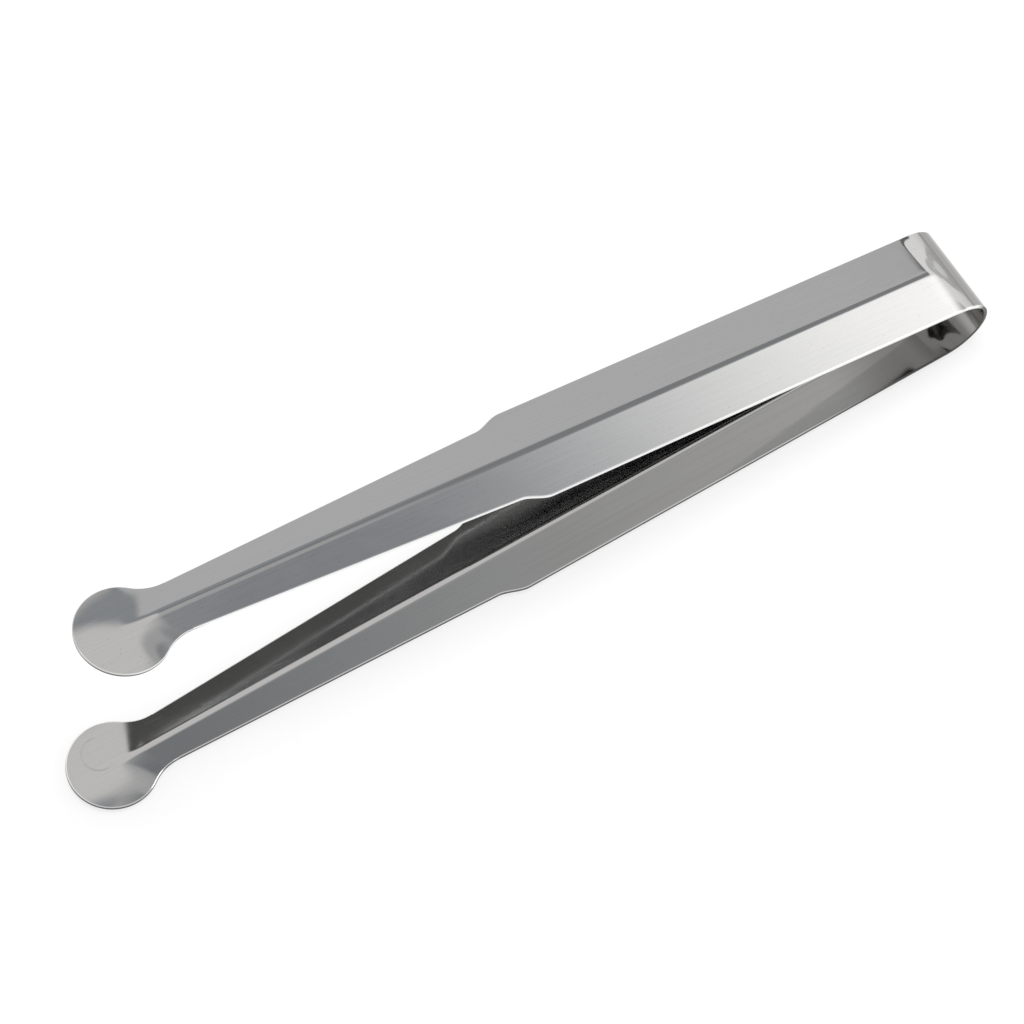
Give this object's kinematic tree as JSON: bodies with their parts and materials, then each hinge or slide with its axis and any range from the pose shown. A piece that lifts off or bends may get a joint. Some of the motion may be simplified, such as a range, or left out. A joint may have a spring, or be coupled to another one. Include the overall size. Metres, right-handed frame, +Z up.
{
  "type": "sausage tongs",
  "caption": "Spring tongs pressed from stainless strip: a springy bow joins roof-folded arms that narrow to dished cups, for picking up sausages.",
  "frame": {"origin": "on the table, under the middle of the tongs, which lie on their lower arm", "axes": "+Z up, +X from the cups to the bow, +Y across the strip"},
  "size_m": [0.2052, 0.02, 0.0585],
  "materials": {
    "steel": "polished stainless spring steel with a fine lengthwise grain"
  },
  "bodies": {
    "lower_arm": {"spring_bow": "steel", "lower_grip": "steel", "lower_shank": "steel", "lower_cup": "steel"},
    "upper_arm": {"upper_grip": "steel", "upper_shank": "steel", "upper_cup": "steel"}
  },
  "joints": [
    {"name": "squeeze", "type": "hinge", "parent": "lower_arm", "child": "upper_arm", "pos_m": [0.09392, 0, 0.01004], "axis": [0, -1, 0], "range_deg": [-4, 16.25], "stiffness_Nm_per_rad": 4.6, "deforming": ["spring_bow"]}
  ]
}
